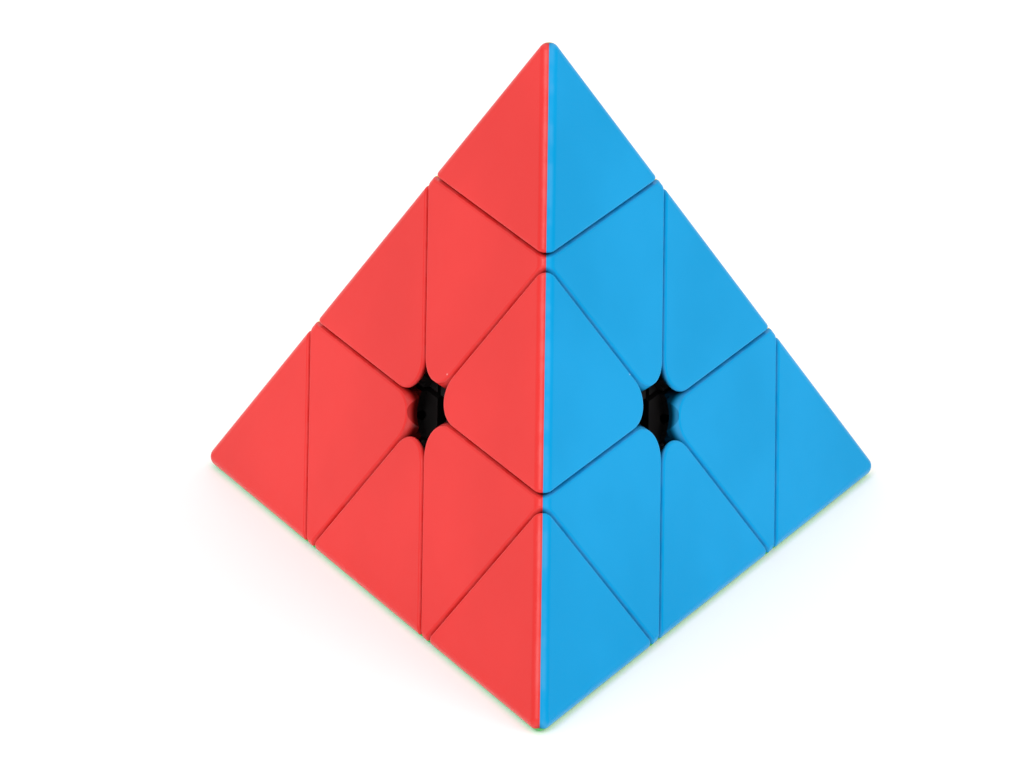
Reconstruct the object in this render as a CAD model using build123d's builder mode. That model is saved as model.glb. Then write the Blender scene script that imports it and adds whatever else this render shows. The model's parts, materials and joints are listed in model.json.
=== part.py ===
from build123d import *
import os
from itertools import combinations
from math import atan, cos, radians, sin, sqrt, tan

# Pyramid twisty puzzle. A regular tetrahedron is cut into four turning layers, one about the axis
# through each corner, and a tip that turns by itself on each corner. The origin is the middle of the
# core, where the four turning axes cross. +Z runs up the top corner's axis and -Y faces the front
# corner. The puzzle stands on its green face. All sizes are in millimetres.

# ---- Driving dimensions: the outside ----
PYRAMID_EDGE = 98.0  # between two corners, before they are rounded
RUNNING_GAP = 0.3  # between neighbouring pieces
RIDGE_RADIUS = 1.5  # rounding of the pyramid's own ridges and corners
RIM_RADIUS = 0.4  # rounding of a piece's rims along the cuts
CENTRE_ROUNDING = 4.25  # rounding of the six pieces' corners that meet in the middle of a face

# ---- Driving dimensions: coloured caps on black bodies ----
CAP_TOP = 1.2  # thickness under a coloured face
CAP_WALL = 1.2  # thickness of a cap's skirt
CAP_DEPTH = 2.5  # reach of the skirt behind the coloured face
BODY_RECESS = 0.2  # a black body stands this far behind the skirts around it
BODY_WALL = 1.6  # walls and webs beside a black body's pockets
EDGE_POCKET_FLOOR = 19.0  # middle of the core to the floor of an edge body's pockets
WELL_RADIUS = 4.1  # of the round well in the middle of each face
WELL_LIP = 1.75  # the well widens this far behind the coloured face
WELL_ROOM_RADIUS = 5.2
WELL_FLOOR = 16.6  # middle of the core to the floor of the well
TIP_LAND_HEIGHT = 15.0  # reach of a tip body's flats up under its caps
TIP_BORE_END = 44.0  # middle of the core to the end of the hollow in a tip

# ---- Driving dimensions: the mechanism, as distances from the middle of the core ----
CORE_RADIUS = 8.0
FOOT_INNER = 8.5  # the feet of the edge pieces ride between two spheres
FOOT_OUTER = 14.0
FOOT_CONE = 68.5  # degrees between a turning axis and the rim of the feet that turn about it
FOOT_FACET = 24  # degrees about the axis that each flat side of a foot spans
FOOT_END = 33  # degrees about the middle from the centre of a foot to its end
PLATE_INNER = 14.3  # underside of the plate that holds the feet down
PLATE_OUTER = 16.4
POST_END = 13.9
STEM_START = 9.4  # inner end of the stem that turns on the post
INSERT_START = 8.9
SCREW_START = 9.2
SPRING_START = 16.55
SPRING_END = 22.3
WASHER_START = 22.4
SNAP_STEM_START = 27.0
LIP_START = 28.8  # underside of the lip that catches the snap stem's bead

# ---- Driving dimensions: the mechanism, as sizes about a turning axis ----
SCREW_RADIUS = 1.25
SCREW_HOLE_RADIUS = 1.6
HEAD_RADIUS = 2.9
HEAD_HEIGHT = 1.8
RECESS_LENGTH = 3.2  # cross recess in the screw's head
RECESS_WIDTH = 0.7
RECESS_DEPTH = 1.1
INSERT_RADIUS = 2.0
INSERT_BORE_RADIUS = 1.28
POST_RADIUS = 3.0
POST_BLEND = 0.5
STEM_RADIUS = 4.7
STEM_BORE_RADIUS = 3.1
SPRING_RADIUS = 2.6  # to the middle of the wire
SPRING_WIRE = 0.7
SPRING_TURNS = 5
WASHER_RADIUS = 3.6
WASHER_HOLE_RADIUS = 1.4
WASHER_THICKNESS = 0.5
SNAP_STEM_RADIUS = 3.8
SNAP_STEM_BORE_RADIUS = 2.6
SNAP_BEAD_RADIUS = 4.35
SNAP_BEAD_HEIGHT = 1.5
SNAP_BEAD_CHAMFER = 0.3
SNAP_SLOT_WIDTH = 1.0
LIP_RADIUS = 4.0
CHAMBER_RADIUS = 4.6
HUB_RADIUS = 6.6
CLICK_RADIUS = 5.3  # the tip's click bumps stand on a circle of this radius
CLICK_BUMP_RADIUS = 0.5
CLICK_REACH = 0.25  # of a bump into its track
CLICK_TRACK_WIDTH = 1.6
CLICK_TRACK_DEPTH = 0.5
CLICK_DIMPLE_DEPTH = 0.3

# ---- Worked out from the driving dimensions ----
FACE_DISTANCE = PYRAMID_EDGE / sqrt(24)  # middle of the core to each face
LAYER_CUT = FACE_DISTANCE / 3  # middle of the core to each layer's cut
TIP_CUT = 5 * LAYER_CUT  # middle of the core to each tip's cut
HALF_GAP = RUNNING_GAP / 2
TIP_START = TIP_CUT + HALF_GAP
TIP_BODY_START = TIP_START + BODY_RECESS
AXIAL_BODY_END = TIP_CUT - HALF_GAP - BODY_RECESS
POCKET_INSET = HALF_GAP + CAP_WALL + BODY_WALL
HEAD_START = WASHER_START + WASHER_THICKNESS
STOCK_SIZE = 3 * PYRAMID_EDGE

CORNERS = {
    "top": Vector(0, 0, 1),
    "front": Vector(0, -2 * sqrt(2) / 3, -1 / 3),
    "left": Vector(-sqrt(2 / 3), sqrt(2) / 3, -1 / 3),
    "right": Vector(sqrt(2 / 3), sqrt(2) / 3, -1 / 3),
}
FACE_COLOURS = {"right": "red", "left": "blue", "front": "yellow", "top": "green"}  # by the corner opposite
EDGES = (
    ("top", "front"),
    ("top", "left"),
    ("top", "right"),
    ("front", "left"),
    ("front", "right"),
    ("left", "right"),
)
MIDDLE = (0, 0, 0)


def others(*corners):
    """The corners that aren't named."""
    return [corner for corner in CORNERS if corner not in corners]


def axis_plane(corner):
    """A plane through the middle of the core, facing out along a corner's turning axis."""
    outward = CORNERS[corner]
    neighbour = CORNERS[others(corner)[0]]
    sideways = outward.cross(neighbour).normalized()
    return Plane(origin=MIDDLE, x_dir=sideways, z_dir=outward)


def block(limits):
    """The solid inside flat boundaries, each an outward direction and its distance from the middle."""
    with BuildPart() as stock:
        Box(STOCK_SIZE, STOCK_SIZE, STOCK_SIZE)
        for outward, distance in limits:
            split(bisect_by=Plane(origin=outward * distance, z_dir=outward), keep=Keep.BOTTOM)
    return stock.part


def coloured_limits(corners, inset):
    """The pyramid's faces that a piece reaches, moved in by inset."""
    return [(-CORNERS[corner], FACE_DISTANCE - inset) for corner in corners]


def tip_cuts(corner, inset):
    """A tip lies beyond its own cut."""
    return [(-CORNERS[corner], -TIP_CUT - inset)]


def axial_cuts(corner, inset):
    """An axial piece lies between its tip's cut, its layer's cut and the other three layers."""
    outward = CORNERS[corner]
    own_cuts = [(outward, TIP_CUT - inset), (-outward, -LAYER_CUT - inset)]
    return own_cuts + [(CORNERS[other], LAYER_CUT - inset) for other in others(corner)]


def edge_cuts(corners, inset):
    """An edge piece lies in two layers."""
    return [(-CORNERS[corner], -LAYER_CUT - inset) for corner in corners]


def sector_limits(opposite, faces, inset=0.0):
    """Mitre planes that part one coloured face of a piece from its other coloured faces."""
    return [
        ((CORNERS[opposite] - CORNERS[face]).normalized(), -inset) for face in faces if face != opposite
    ]


def about(corner, radius, start, end):
    """A cylinder about a turning axis, between two distances from the middle of the core."""
    with BuildPart(axis_plane(corner).offset(start)) as drum:
        Cylinder(radius, end - start, align=(Align.CENTER, Align.CENTER, Align.MIN))
    return drum.part


def save(builder, name):
    """Label a finished piece and write it to its own file."""
    builder.part.label = name
    export_step(builder.part, f"parts/{name}.step")


def rims_of(builder, radius):
    """The round rims of one radius."""
    circles = builder.edges().filter_by(GeomType.CIRCLE)
    return circles.filter_by(lambda rim: abs(rim.radius - radius) < 0.01)


def rounded_wedge(limits):
    """The room inside two cuts, less the rim rounding, with the corner between them rounded."""
    with BuildPart() as wedge:
        add(block(limits))
        fillet(wedge.edges().sort_by_distance(MIDDLE)[0], radius=CENTRE_ROUNDING - RIM_RADIUS)
    return wedge.part


def blank_inside(cuts, wedges):
    """A whole piece of the pyramid inside its cuts, with its ridges and then its rims rounded."""
    with BuildPart() as blank:
        add(block(coloured_limits(CORNERS, RIM_RADIUS)))
        fillet(blank.edges(), radius=RIDGE_RADIUS - RIM_RADIUS)
        for outward, distance in cuts:
            cut = Plane(origin=outward * (distance - RIM_RADIUS), z_dir=outward)
            split(bisect_by=cut, keep=Keep.BOTTOM)
        for limits in wedges:
            inner_limits = [(outward, distance - RIM_RADIUS) for outward, distance in limits]
            add(rounded_wedge(inner_limits), mode=Mode.INTERSECT)
        offset(amount=RIM_RADIUS, kind=Kind.ARC)
    return blank.part


def wells(opposites):
    """The round wells in the middles of the faces that a piece reaches, wider under their lips."""
    hollows = []
    for opposite in opposites:
        hollows.append(about(opposite, WELL_RADIUS, -FACE_DISTANCE, -WELL_FLOOR))
        hollows.append(about(opposite, WELL_ROOM_RADIUS, WELL_LIP - FACE_DISTANCE, -WELL_FLOOR))
    return hollows


def land(cuts, opposites):
    """The part of a black body that fills the room inside its caps. It stops short of the wells."""
    with BuildPart() as filling:
        add(block(cuts + coloured_limits(opposites, CAP_TOP)))
        for opposite in opposites:
            add(about(opposite, WELL_ROOM_RADIUS, -FACE_DISTANCE, -WELL_FLOOR), mode=Mode.SUBTRACT)
    return filling.part


def save_caps(blank, name, opposites, body_room):
    """Write one coloured cap for each of a piece's outer faces. They meet on mitres at its ridges."""
    for opposite in opposites:
        inward = CORNERS[opposite]
        with BuildPart() as cap:
            add(blank)
            for outward, distance in sector_limits(opposite, opposites):
                split(bisect_by=Plane(origin=outward * distance, z_dir=outward), keep=Keep.BOTTOM)
            skirt_end = Plane(origin=inward * (CAP_DEPTH - FACE_DISTANCE), z_dir=inward)
            split(bisect_by=skirt_end, keep=Keep.BOTTOM)
            add(body_room, mode=Mode.SUBTRACT)
            add(wells([opposite]), mode=Mode.SUBTRACT)
        save(cap, f"{name}_{FACE_COLOURS[opposite]}_cap")


def tip(corner):
    """A tip: three caps on a black body whose split stem snaps into the axial piece."""
    sides = others(corner)
    land_end = (CORNERS[corner], TIP_START + TIP_LAND_HEIGHT)
    filling = land(tip_cuts(corner, HALF_GAP + CAP_WALL) + [land_end], sides)
    save_caps(blank_inside(tip_cuts(corner, HALF_GAP), []), f"{corner}_tip", sides, filling)

    plane = axis_plane(corner)
    with BuildPart() as body:
        add(block(tip_cuts(corner, HALF_GAP + BODY_RECESS) + coloured_limits(sides, CAP_DEPTH)))
        add(filling)
        add(about(corner, SNAP_STEM_RADIUS, SNAP_STEM_START, TIP_BODY_START))
        add(about(corner, SNAP_BEAD_RADIUS, SNAP_STEM_START, SNAP_STEM_START + SNAP_BEAD_HEIGHT))
        chamfer(rims_of(body, SNAP_BEAD_RADIUS), length=SNAP_BEAD_CHAMFER)
        add(about(corner, SNAP_STEM_BORE_RADIUS, SNAP_STEM_START, TIP_BORE_END), mode=Mode.SUBTRACT)
        with BuildSketch(plane.offset(SNAP_STEM_START)):
            Rectangle(3 * SNAP_STEM_RADIUS, SNAP_SLOT_WIDTH)
            Rectangle(SNAP_SLOT_WIDTH, 3 * SNAP_STEM_RADIUS)
        extrude(amount=LIP_START + 2 - SNAP_STEM_START, mode=Mode.SUBTRACT)
        bump_end = AXIAL_BODY_END - CLICK_REACH
        with BuildSketch(plane.offset(bump_end)):
            with PolarLocations(CLICK_RADIUS, 3):
                Circle(CLICK_BUMP_RADIUS)
        extrude(amount=TIP_BODY_START - bump_end)
        bump_rims = rims_of(body, CLICK_BUMP_RADIUS).group_by(Axis(MIDDLE, CORNERS[corner]))[0]
        chamfer(bump_rims, length=CLICK_REACH)
    save(body, f"{corner}_tip_body")


def axial_pocket(corner, opposite):
    """The hollow in an axial body behind one of its caps."""
    sides = others(corner)
    walls = axial_cuts(corner, POCKET_INSET) + sector_limits(opposite, sides, BODY_WALL / 2)
    with BuildPart() as pocket:
        add(block(walls + coloured_limits(sides, CAP_TOP)))
        Sphere(PLATE_OUTER, mode=Mode.SUBTRACT)
        add(about(corner, HUB_RADIUS, LAYER_CUT, TIP_CUT), mode=Mode.SUBTRACT)
    return pocket.part


def axial(corner):
    """An axial piece: three caps on a black body that turns on its post and holds the feet down."""
    sides = others(corner)
    layers = [(CORNERS[side], LAYER_CUT - HALF_GAP) for side in sides]
    blank = blank_inside(axial_cuts(corner, HALF_GAP), combinations(layers, 2))
    filling = land(axial_cuts(corner, HALF_GAP + CAP_WALL), sides)
    save_caps(blank, f"{corner}_axial", sides, filling)

    plane = axis_plane(corner)
    with BuildPart() as body:
        add(block(axial_cuts(corner, HALF_GAP + BODY_RECESS) + coloured_limits(sides, CAP_DEPTH)))
        add(filling)
        for opposite in sides:
            add(axial_pocket(corner, opposite), mode=Mode.SUBTRACT)
        add(wells(sides), mode=Mode.SUBTRACT)
        Sphere(PLATE_INNER, mode=Mode.SUBTRACT)
        add(about(corner, STEM_RADIUS, STEM_START, PLATE_OUTER))
        add(about(corner, STEM_BORE_RADIUS, STEM_START, PLATE_INNER), mode=Mode.SUBTRACT)
        add(about(corner, SCREW_HOLE_RADIUS, PLATE_INNER, PLATE_OUTER), mode=Mode.SUBTRACT)
        add(about(corner, CHAMBER_RADIUS, PLATE_OUTER, LIP_START), mode=Mode.SUBTRACT)
        add(about(corner, LIP_RADIUS, LIP_START, TIP_CUT), mode=Mode.SUBTRACT)
        with BuildSketch(plane.offset(AXIAL_BODY_END)):
            Circle(CLICK_RADIUS + CLICK_TRACK_WIDTH / 2)
            Circle(CLICK_RADIUS - CLICK_TRACK_WIDTH / 2, mode=Mode.SUBTRACT)
        extrude(amount=-CLICK_TRACK_DEPTH, mode=Mode.SUBTRACT)
        with BuildSketch(plane.offset(AXIAL_BODY_END)):
            with PolarLocations(CLICK_RADIUS, 3):
                Circle(CLICK_BUMP_RADIUS)
        extrude(amount=-CLICK_TRACK_DEPTH - CLICK_DIMPLE_DEPTH, mode=Mode.SUBTRACT)
    save(body, f"{corner}_axial_body")


def foot_sides(corners):
    """Flat sides, all through the middle, that keep a foot inside the room that turns with each layer."""
    half_step = FOOT_FACET / 2
    slope = atan(tan(radians(FOOT_CONE)) * cos(radians(half_step)))
    sides = []
    for corner, partner in (corners, corners[::-1]):
        axis = CORNERS[corner]
        rim = Plane(origin=MIDDLE, x_dir=CORNERS[partner] - axis * axis.dot(CORNERS[partner]), z_dir=axis)
        for turn in (-FOOT_FACET, 0, FOOT_FACET):
            radial = rim.x_dir * cos(radians(turn)) + rim.y_dir * sin(radians(turn))
            sides.append((radial * cos(slope) - axis * sin(slope), 0))
    return sides


def foot(corners):
    """An edge piece's foot: a piece of a round shell that turns with both of the piece's layers."""
    first, second = [CORNERS[corner] for corner in corners]
    third, fourth = [CORNERS[corner] for corner in others(*corners)]
    outward = (first + second).normalized() * sin(radians(FOOT_END))
    lengthwise = (third - fourth).normalized() * cos(radians(FOOT_END))
    ends = [(lengthwise - outward, 0), (-lengthwise - outward, 0)]
    with BuildPart() as shell:
        Sphere(FOOT_OUTER)
        Sphere(FOOT_INNER, mode=Mode.SUBTRACT)
        for side, distance in foot_sides(corners) + ends:
            split(bisect_by=Plane(origin=side * distance, z_dir=side), keep=Keep.BOTTOM)
    return shell.part


def edge(corners):
    """An edge piece: two caps on a black body with a neck and a foot that hooks under the plates."""
    name = "_".join(corners) + "_edge"
    sides = others(*corners)
    cuts = edge_cuts(corners, HALF_GAP)
    filling = land(edge_cuts(corners, HALF_GAP + CAP_WALL), sides)
    save_caps(blank_inside(cuts, [cuts]), name, sides, filling)

    outward = (CORNERS[corners[0]] + CORNERS[corners[1]]).normalized()
    pocket_floor = (-outward, -EDGE_POCKET_FLOOR)
    with BuildPart() as body:
        add(block(edge_cuts(corners, HALF_GAP + BODY_RECESS) + coloured_limits(sides, CAP_DEPTH)))
        add(filling)
        for opposite in sides:
            walls = edge_cuts(corners, POCKET_INSET) + sector_limits(opposite, sides, BODY_WALL / 2)
            add(block(walls + coloured_limits(sides, CAP_TOP) + [pocket_floor]), mode=Mode.SUBTRACT)
        add(wells(sides), mode=Mode.SUBTRACT)
        add(foot(corners))
    save(body, f"{name}_body")


def core():
    """The spider in the middle: a ball with four posts, bored for the thread inserts."""
    with BuildPart() as spider:
        Sphere(CORE_RADIUS)
        for corner in CORNERS:
            add(about(corner, POST_RADIUS, 0, POST_END))
        roots = spider.edges().filter_by(GeomType.CIRCLE).filter_by(lambda rim: rim.radius < CORE_RADIUS)
        fillet(roots.sort_by_distance(MIDDLE)[:len(CORNERS)], radius=POST_BLEND)
        for corner in CORNERS:
            add(about(corner, INSERT_RADIUS, INSERT_START, POST_END), mode=Mode.SUBTRACT)
    save(spider, "core_spider")


def thread_inserts():
    """A brass bush in each post, which takes the axle screw."""
    with BuildPart() as inserts:
        for corner in CORNERS:
            add(about(corner, INSERT_RADIUS, INSERT_START, POST_END))
            add(about(corner, INSERT_BORE_RADIUS, INSERT_START, POST_END), mode=Mode.SUBTRACT)
    save(inserts, "thread_inserts")


def axle_screws():
    """Four screws with round heads and cross recesses, which hold the axial pieces to the core."""
    with BuildPart() as screws:
        for corner in CORNERS:
            head_end = HEAD_START + HEAD_HEIGHT
            add(about(corner, SCREW_RADIUS, SCREW_START, HEAD_START))
            add(about(corner, HEAD_RADIUS, HEAD_START, head_end))
            with BuildSketch(axis_plane(corner).offset(head_end)):
                Rectangle(RECESS_LENGTH, RECESS_WIDTH)
                Rectangle(RECESS_WIDTH, RECESS_LENGTH)
            extrude(amount=-RECESS_DEPTH, mode=Mode.SUBTRACT)
    save(screws, "axle_screws")


def washers():
    """A washer under each screw's head."""
    with BuildPart() as rings:
        for corner in CORNERS:
            with BuildSketch(axis_plane(corner).offset(WASHER_START)):
                Circle(WASHER_RADIUS)
                Circle(WASHER_HOLE_RADIUS, mode=Mode.SUBTRACT)
            extrude(amount=WASHER_THICKNESS)
    save(rings, "washers")


def tension_springs():
    """A spring round each screw, between the washer and the axial piece's plate."""
    height = SPRING_END - SPRING_START - SPRING_WIRE
    with BuildPart() as springs:
        for corner in CORNERS:
            outward = CORNERS[corner]
            start = outward * (SPRING_START + SPRING_WIRE / 2)
            with BuildLine() as coil:
                Helix(height / SPRING_TURNS, height, SPRING_RADIUS, center=start, direction=outward)
            with BuildSketch(Plane(origin=coil.line @ 0, z_dir=coil.line % 0)):
                Circle(SPRING_WIRE / 2)
            sweep(is_frenet=True)
    save(springs, "tension_springs")


os.makedirs("parts", exist_ok=True)
core()
thread_inserts()
axle_screws()
washers()
tension_springs()
for corner in CORNERS:
    axial(corner)
    tip(corner)
for corners in EDGES:
    edge(corners)
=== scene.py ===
import json
import math

import bpy
from mathutils import Matrix, Vector


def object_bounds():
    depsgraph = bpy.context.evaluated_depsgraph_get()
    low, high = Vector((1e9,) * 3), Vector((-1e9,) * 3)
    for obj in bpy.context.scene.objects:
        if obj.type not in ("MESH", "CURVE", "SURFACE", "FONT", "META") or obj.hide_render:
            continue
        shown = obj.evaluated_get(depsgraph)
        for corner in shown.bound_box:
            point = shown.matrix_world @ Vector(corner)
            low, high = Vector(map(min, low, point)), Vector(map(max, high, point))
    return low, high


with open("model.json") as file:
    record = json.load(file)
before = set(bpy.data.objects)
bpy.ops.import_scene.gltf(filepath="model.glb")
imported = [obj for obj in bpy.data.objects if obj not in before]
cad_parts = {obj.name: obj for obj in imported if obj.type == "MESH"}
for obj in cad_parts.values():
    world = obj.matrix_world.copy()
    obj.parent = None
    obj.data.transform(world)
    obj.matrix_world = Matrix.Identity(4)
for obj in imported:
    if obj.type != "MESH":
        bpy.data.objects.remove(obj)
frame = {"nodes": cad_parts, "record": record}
cad_low, cad_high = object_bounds()

# ---- Places, in metres from the middle of the core ----
CORNERS = {  # the directions of the pyramid's corners
    "top": Vector((0, 0, 1)),
    "front": Vector((0, -2 * math.sqrt(2) / 3, -1 / 3)),
    "left": Vector((-math.sqrt(2 / 3), math.sqrt(2) / 3, -1 / 3)),
    "right": Vector((math.sqrt(2 / 3), math.sqrt(2) / 3, -1 / 3)),
}
FLOOR_HEIGHT = cad_low.z
FACE_DISTANCE = -FLOOR_HEIGHT  # from the middle of the core to each coloured face

# ---- Camera ----
AZIMUTH = -0.07  # degrees
ELEVATION = 25.45
ROLL = 0.87
CAMERA_DISTANCE = 1.13
PIXELS_PER_METRE = 7252.0  # at the middle of the puzzle
IMAGE_WIDTH = 1024
SENSOR_WIDTH = 36.0  # millimetres
AIM_RIGHT = -0.0043  # the camera looks this far from the middle of the core
AIM_UP = 0.0054
CLIP_START, CLIP_END = 0.01, 50

# ---- Finishes ----
FACES = {  # colour, opposite corner, and the level and tint of the gloss
    "red_plastic": ((0.76, 0.024, 0.021), "right", 0.30, (1.0, 0.75, 0.75)),
    "blue_plastic": ((0.0, 0.32, 0.66), "left", 0.12, (0.0, 0.6, 1.0)),
    "yellow_plastic": ((0.90, 0.62, 0.01), "front", 0.35, (1, 1, 1)),
    "green_plastic": ((0.03, 0.50, 0.07), "top", 0.35, (1, 1, 1)),
}
METALS = {  # dark and pale colour, and roughness
    "steel": ((0.50, 0.50, 0.51), (0.66, 0.66, 0.67), 0.30),
    "brass": ((0.62, 0.42, 0.16), (0.80, 0.58, 0.26), 0.28),
}
NOISE_SPAN = (0.3, 0.7)  # where most values of a noise lie
RIM_DEPTHS = (0.00002, 0.0003)  # behind a face, where its flat turns into its rim, which gets a painted highlight and less roughness
GAP_SHADE_DEPTHS = (0.0004, 0.0014)  # behind a face, where painted shade darkens the wall of a gap
RIM_HIGHLIGHT = (0.05, 0.16)  # how far a rim goes towards its paler colour, a painted highlight
RIM_POLISH = 0.10  # a rim is this much less rough than its face
GAP_SHADE_STRENGTH = 0.95  # how far painted shade takes a gap's wall towards its dark colour
DUST_SPACING = 0.0045
DUST_SIZE = 0.030  # the radius of the largest speck, as a share of the spacing
DUST_STRENGTH = 0.35

# ---- Stage ----
FLOOR_HALF_WIDTH = 6.0
FLOOR_GLOW = 0.10  # lifts the paper floor to the even white of a light table
ROOM_LIGHT = 0.95
SOFTBOX_WIDTH = 0.6
SOFTBOXES = {  # place and watts
    "key_softbox": ((-0.7, -0.8, 0.9), 4.0),
    "fill_softbox": ((0.9, -0.6, 0.6), 2.5),
}


def make_camera():
    azimuth, elevation = math.radians(AZIMUTH), math.radians(ELEVATION)
    level = Vector((math.sin(azimuth), -math.cos(azimuth), 0))
    back = level * math.cos(elevation) + Vector((0, 0, math.sin(elevation)))
    right = Vector((math.cos(azimuth), math.sin(azimuth), 0))
    up = back.cross(right)
    data = bpy.data.cameras.new("camera")
    data.sensor_width = SENSOR_WIDTH
    data.lens = SENSOR_WIDTH * PIXELS_PER_METRE * CAMERA_DISTANCE / IMAGE_WIDTH
    data.clip_start, data.clip_end = CLIP_START, CLIP_END
    camera = bpy.data.objects.new("camera", data)
    bpy.context.scene.collection.objects.link(camera)
    place = back * CAMERA_DISTANCE + right * AIM_RIGHT + up * AIM_UP
    turn = Matrix((right, up, back)).transposed() @ Matrix.Rotation(math.radians(ROLL), 3, "Z")
    camera.matrix_world = Matrix.Translation(place) @ turn.to_4x4()
    bpy.context.scene.camera = camera


class Shader:
    """A principled material and short ways to add its nodes. Lengths are in metres."""

    MIX_FIRST, MIX_SECOND, MIX_RESULT = 6, 7, 2  # a Mix node's sockets for colours

    def __init__(self, name):
        self.material = bpy.data.materials.new(name)
        self.material.use_nodes = True
        self.tree = self.material.node_tree
        self.tree.nodes.clear()
        output = self.node("ShaderNodeOutputMaterial")
        self.surface = self.node("ShaderNodeBsdfPrincipled")
        self.link(self.surface.outputs["BSDF"], output.inputs["Surface"])
        self.place = self.node("ShaderNodeTexCoord").outputs["Object"]

    def node(self, kind, **settings):
        made = self.tree.nodes.new(kind)
        for key, value in settings.items():
            setattr(made, key, value)
        return made

    def link(self, source, target):
        self.tree.links.new(source, target)

    def feed(self, target, value):
        """Link another node's output to a socket, or give the socket a plain value."""
        if isinstance(value, bpy.types.NodeSocket):
            self.link(value, target)
        else:
            target.default_value = value

    def math(self, operation, first, second):
        made = self.node("ShaderNodeMath", operation=operation)
        self.feed(made.inputs[0], first)
        self.feed(made.inputs[1], second)
        return made.outputs[0]

    def remap(self, value, low, high, to_low=0.0, to_high=1.0):
        made = self.node("ShaderNodeMapRange", interpolation_type="SMOOTHSTEP")
        given = {"Value": value, "From Min": low, "From Max": high, "To Min": to_low, "To Max": to_high}
        for socket, setting in given.items():
            self.feed(made.inputs[socket], setting)
        return made.outputs["Result"]

    def noise(self, size, detail=2.0, roughness=0.5):
        made = self.node("ShaderNodeTexNoise")
        self.link(self.place, made.inputs["Vector"])
        made.inputs["Scale"].default_value = 1 / size
        made.inputs["Detail"].default_value = detail
        made.inputs["Roughness"].default_value = roughness
        return made.outputs["Fac"]

    def mix(self, share, first, second):
        made = self.node("ShaderNodeMix", data_type="RGBA")
        self.feed(made.inputs["Factor"], share)
        self.feed(made.inputs[self.MIX_FIRST], first)
        self.feed(made.inputs[self.MIX_SECOND], second)
        return made.outputs[self.MIX_RESULT]

    def bump(self, height, distance, strength, normal=None):
        made = self.node("ShaderNodeBump")
        made.inputs["Strength"].default_value = strength
        made.inputs["Distance"].default_value = distance
        self.link(height, made.inputs["Height"])
        if normal:
            self.link(normal, made.inputs["Normal"])
        return made.outputs["Normal"]

    def set(self, **inputs):
        for name, value in inputs.items():
            self.feed(self.surface.inputs[name.replace("_", " ")], value)

    def depth_behind_face(self, opposite):
        """How far a point lies behind the face opposite a corner."""
        along = self.node("ShaderNodeVectorMath", operation="DOT_PRODUCT")
        self.link(self.place, along.inputs[0])
        along.inputs[1].default_value = CORNERS[opposite]
        return self.math("ADD", along.outputs["Value"], FACE_DISTANCE)

    def dust(self):
        """A few fine specks, in patches: 1 on a speck, 0 elsewhere."""
        cells = self.node("ShaderNodeTexVoronoi", feature="F1")
        self.link(self.place, cells.inputs["Vector"])
        cells.inputs["Scale"].default_value = 1 / DUST_SPACING
        patches = self.noise(size=0.007, detail=1.0)
        speck_size = self.remap(patches, 0.52, 0.72, to_high=DUST_SIZE)
        return self.math("LESS_THAN", cells.outputs["Distance"], speck_size)


def coloured_plastic(name, colour, opposite, gloss, gloss_tint):
    """Satin moulded plastic: rims painted paler as a highlight, gap walls painted dark as shade."""
    shader = Shader(name)
    depth = shader.depth_behind_face(opposite)
    rim = shader.remap(depth, *RIM_DEPTHS)
    # painted shade: the deeper part of each gap's wall is darkened
    painted_gap_shade = shader.remap(depth, *GAP_SHADE_DEPTHS)

    pale = tuple(min(1.0, c * 1.04 + 0.004) for c in colour)
    deep = tuple(c * 0.94 for c in colour)
    # a paler colour for the painted highlight on the rims
    rim_highlight_colour = tuple(0.75 * c + 0.25 for c in colour)
    # the almost black colour of the painted shade in the gaps
    dark = tuple(c * 0.03 for c in colour)
    cloud = shader.noise(size=0.030, detail=3.0)
    tint = shader.mix(shader.remap(cloud, *NOISE_SPAN), (*deep, 1), (*pale, 1))
    # painted highlight on the rims, varied by a noise and faded where the painted gap shade begins
    highlight_variation = shader.remap(shader.noise(size=0.003), 0.35, 0.65, *RIM_HIGHLIGHT)
    painted_rim_highlight = shader.math("MULTIPLY", rim, highlight_variation)
    painted_rim_highlight = shader.math("MULTIPLY", painted_rim_highlight, shader.math("SUBTRACT", 1.0, painted_gap_shade))
    tint = shader.mix(painted_rim_highlight, tint, (*rim_highlight_colour, 1))
    # painted shade: deep in the gaps the wall goes almost black
    tint = shader.mix(shader.math("MULTIPLY", painted_gap_shade, GAP_SHADE_STRENGTH), tint, (*dark, 1))
    tint = shader.mix(shader.math("MULTIPLY", shader.dust(), DUST_STRENGTH), tint, (0.9, 0.9, 0.9, 1))

    mottle = shader.noise(size=0.0016, detail=4.0, roughness=0.6)
    satin = shader.remap(mottle, *NOISE_SPAN, to_low=0.30, to_high=0.37)
    polished = shader.math("MULTIPLY", rim, RIM_POLISH)
    waves = shader.bump(shader.noise(size=0.009, detail=1.0), distance=0.00002, strength=0.25)
    grain = shader.bump(shader.noise(size=0.00012), distance=0.0000025, strength=0.5, normal=waves)
    shader.set(Base_Color=tint, Roughness=shader.math("SUBTRACT", satin, polished), Normal=grain)
    shader.set(IOR=1.49, Specular_IOR_Level=gloss, Specular_Tint=(*gloss_tint, 1))
    return shader.material


def black_plastic():
    """Fine matt moulded plastic, with faint rubbed patches."""
    shader = Shader("black_plastic")
    cloud = shader.noise(size=0.004, detail=4.0)
    tint = shader.mix(cloud, (0.004, 0.003, 0.003, 1), (0.009, 0.008, 0.008, 1))
    roughness = shader.remap(cloud, *NOISE_SPAN, to_low=0.42, to_high=0.58)
    grain = shader.bump(shader.noise(size=0.00018), distance=0.000006, strength=0.6)
    shader.set(Base_Color=tint, Roughness=roughness, Normal=grain, Specular_IOR_Level=0.12)
    return shader.material


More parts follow.
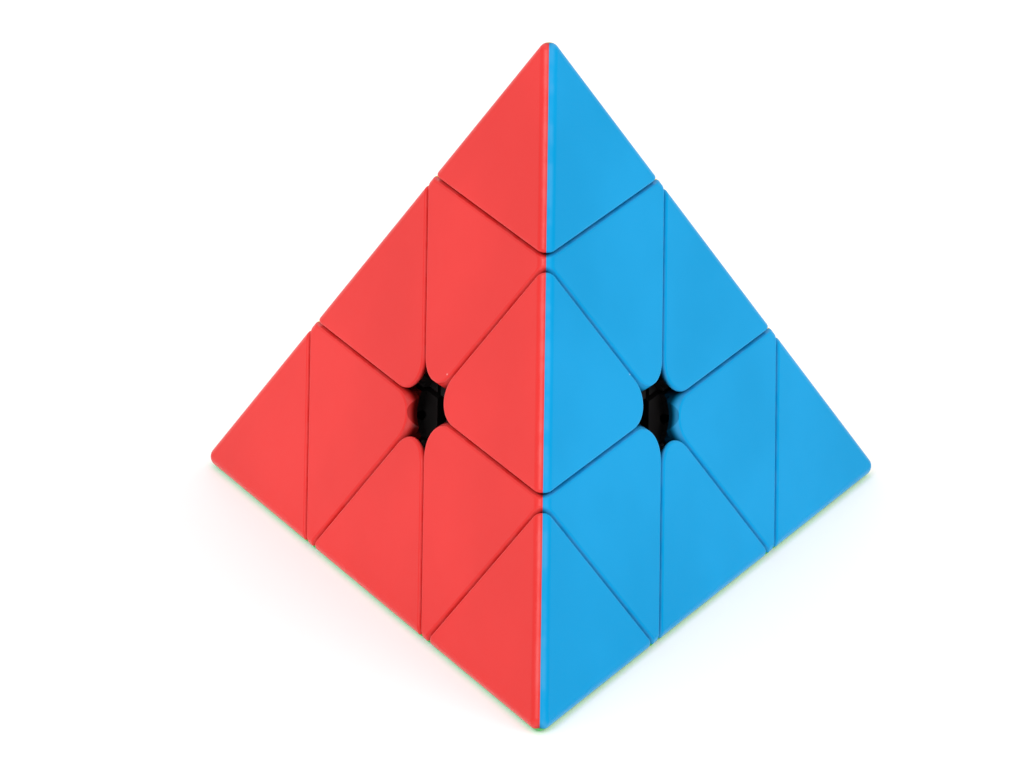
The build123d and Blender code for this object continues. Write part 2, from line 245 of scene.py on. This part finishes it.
def metal(name, dark, pale, roughness):
    """Turned metal: fine marks and a little tarnish."""
    shader = Shader(name)
    tarnish = shader.noise(size=0.0015, detail=4.0)
    marks = shader.noise(size=0.00020, detail=3.0)
    spread = 0.08  # of roughness, between the marks
    shader.set(Base_Color=shader.mix(tarnish, (*dark, 1), (*pale, 1)), Metallic=1.0)
    shader.set(Roughness=shader.remap(marks, *NOISE_SPAN, roughness - spread, roughness + spread))
    shader.set(Normal=shader.bump(marks, distance=0.000004, strength=0.5))
    return shader.material


def dress_nodes():
    """Give every CAD node the finish of its material slot."""
    finishes = {name: coloured_plastic(name, *look) for name, look in FACES.items()}
    finishes["black_plastic"] = black_plastic()
    finishes.update({name: metal(name, *look) for name, look in METALS.items()})
    for part in frame["record"]["subparts"]:
        node = frame["nodes"][part["node"]]
        node.data.materials.clear()
        node.data.materials.append(finishes[part["material_slot"]])


def make_floor():
    x = y = FLOOR_HALF_WIDTH
    mesh = bpy.data.meshes.new("floor")
    corners = [(px, py, FLOOR_HEIGHT) for px, py in ((-x, -y), (x, -y), (x, y), (-x, y))]
    mesh.from_pydata(corners, [], [(0, 1, 2, 3)])
    floor = bpy.data.objects.new("floor", mesh)
    bpy.context.scene.collection.objects.link(floor)
    shader = Shader("floor_paper")
    cloud = shader.noise(size=0.4)
    shader.set(Base_Color=shader.mix(cloud, (0.93, 0.93, 0.93, 1), (0.95, 0.95, 0.95, 1)))
    shader.set(Roughness=0.9, Specular_IOR_Level=0.1)
    shader.set(Emission_Color=(1, 1, 1, 1), Emission_Strength=FLOOR_GLOW)
    mesh.materials.append(shader.material)


def make_softbox(name, place, power):
    """A square light that faces the middle of the puzzle."""
    light = bpy.data.lights.new(name, "AREA")
    light.shape = "SQUARE"
    light.size = SOFTBOX_WIDTH
    light.energy = power
    box = bpy.data.objects.new(name, light)
    bpy.context.scene.collection.objects.link(box)
    box.location = place
    box.rotation_mode = "QUATERNION"
    box.rotation_quaternion = (-Vector(place)).to_track_quat("-Z", "Y")


def make_lights():
    world = bpy.data.worlds.new("studio")
    bpy.context.scene.world = world
    world.use_nodes = True
    background = world.node_tree.nodes["Background"]
    background.inputs["Color"].default_value = (1, 1, 1, 1)
    background.inputs["Strength"].default_value = ROOM_LIGHT
    for name, (place, power) in SOFTBOXES.items():
        make_softbox(name, place, power)


make_camera()
dress_nodes()
make_floor()
make_lights()
bpy.context.scene.view_settings.view_transform = "Standard"
